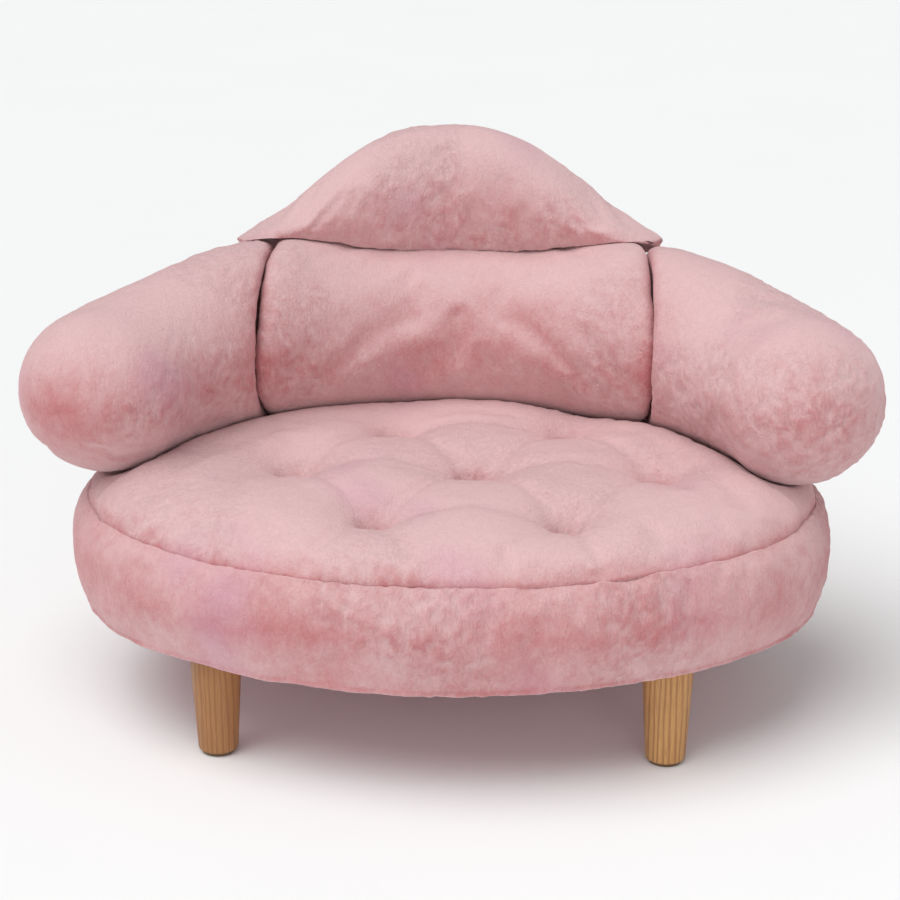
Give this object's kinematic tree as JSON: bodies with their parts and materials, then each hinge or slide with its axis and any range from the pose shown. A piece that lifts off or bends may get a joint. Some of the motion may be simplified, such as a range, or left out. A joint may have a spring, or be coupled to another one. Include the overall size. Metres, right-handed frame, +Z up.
{
  "type": "pet sofa bed",
  "caption": "Raised plush pet sofa: an oval tufted cushion on screw-in wooden legs, with a rounded bolster that forms the arms and a back that rises in the middle.",
  "frame": {"origin": "on the floor, under the middle of the sofa's outer box", "axes": "+X to the right as seen from the front, +Y towards the back, +Z up"},
  "size_m": [0.7138, 0.484, 0.4413],
  "materials": {
    "plush": "matte",
    "lining": "matte",
    "foam": "matte",
    "wadding": "matte",
    "plywood": "matte",
    "pine": "matte",
    "leg_wood": "satin",
    "steel": "satin",
    "felt": "matte",
    "twine": "matte",
    "washer_plastic": "matte",
    "zip_tape": "matte",
    "zip_coil": "satin",
    "zip_metal": "satin"
  },
  "bodies": {
    "sofa": {"seat_top_cover": "plush", "seat_side_band": "plush", "arm_cover_left": "plush", "arm_cover_right": "plush", "back_band_cover": "plush", "hump_cover": "plush", "underside_panel": "lining", "seat_foam_core": "foam", "seat_wadding": "wadding", "arm_fill_left": "wadding", "arm_fill_right": "wadding", "back_band_fill": "wadding", "hump_fill": "wadding", "base_board": "plywood", "bolster_rail": "plywood", "back_panel": "plywood", "post_arm_left": "pine", "post_back_left": "pine", "post_back_right": "pine", "post_arm_right": "pine", "leg_tee_nuts": "steel", "post_screws": "steel", "rail_screws": "steel", "panel_screws": "steel", "tuft_ties": "twine", "tuft_washers": "washer_plastic", "zip_tapes": "zip_tape", "zip_teeth": "zip_coil", "zip_stops": "zip_metal"},
    "washer_front_left": {"leg_washer_front_left": "steel"},
    "leg_front_left": {"leg_front_left": "leg_wood", "leg_bolt_front_left": "steel", "foot_pad_front_left": "felt"},
    "washer_front_right": {"leg_washer_front_right": "steel"},
    "leg_front_right": {"leg_front_right": "leg_wood", "leg_bolt_front_right": "steel", "foot_pad_front_right": "felt"},
    "washer_rear_left": {"leg_washer_rear_left": "steel"},
    "leg_rear_left": {"leg_rear_left": "leg_wood", "leg_bolt_rear_left": "steel", "foot_pad_rear_left": "felt"},
    "washer_rear_right": {"leg_washer_rear_right": "steel"},
    "leg_rear_right": {"leg_rear_right": "leg_wood", "leg_bolt_rear_right": "steel", "foot_pad_rear_right": "felt"},
    "zip_slider": {"zip_slider": "zip_metal"},
    "zip_pull": {"zip_pull": "zip_metal"}
  },
  "joints": [
    {"name": "leg_front_left_travel", "type": "slide", "parent": "sofa", "child": "washer_front_left", "axis": [0, 0, -1], "range_m": [0, 0.01125]},
    {"name": "leg_front_left_turn", "type": "hinge", "parent": "washer_front_left", "child": "leg_front_left", "pos_m": [-0.18, -0.156, 0.088], "axis": [0, 0, -1], "range_deg": [0, 3240]},
    {"name": "leg_front_right_travel", "type": "slide", "parent": "sofa", "child": "washer_front_right", "axis": [0, 0, -1], "range_m": [0, 0.01125]},
    {"name": "leg_front_right_turn", "type": "hinge", "parent": "washer_front_right", "child": "leg_front_right", "pos_m": [0.18, -0.156, 0.088], "axis": [0, 0, -1], "range_deg": [0, 3240]},
    {"name": "leg_rear_left_travel", "type": "slide", "parent": "sofa", "child": "washer_rear_left", "axis": [0, 0, -1], "range_m": [0, 0.01125]},
    {"name": "leg_rear_left_turn", "type": "hinge", "parent": "washer_rear_left", "child": "leg_rear_left", "pos_m": [-0.18, 0.156, 0.088], "axis": [0, 0, -1], "range_deg": [0, 3240]},
    {"name": "leg_rear_right_travel", "type": "slide", "parent": "sofa", "child": "washer_rear_right", "axis": [0, 0, -1], "range_m": [0, 0.01125]},
    {"name": "leg_rear_right_turn", "type": "hinge", "parent": "washer_rear_right", "child": "leg_rear_right", "pos_m": [0.18, 0.156, 0.088], "axis": [0, 0, -1], "range_deg": [0, 3240]},
    {"name": "zip_travel", "type": "slide", "parent": "sofa", "child": "zip_slider", "axis": [-1, 0, 0], "range_m": [0, 0.256]},
    {"name": "zip_pull_swing", "type": "hinge", "parent": "zip_slider", "child": "zip_pull", "pos_m": [0.128, 0.156, 0.0796], "axis": [0, 1, 0], "range_deg": [-80, 80]}
  ],
  "couplings": [
    {"joint": "leg_front_left_turn", "follows": "leg_front_left_travel", "rad_per_m": 5026.5},
    {"joint": "leg_front_right_turn", "follows": "leg_front_right_travel", "rad_per_m": 5026.5},
    {"joint": "leg_rear_left_turn", "follows": "leg_rear_left_travel", "rad_per_m": 5026.5},
    {"joint": "leg_rear_right_turn", "follows": "leg_rear_right_travel", "rad_per_m": 5026.5}
  ]
}
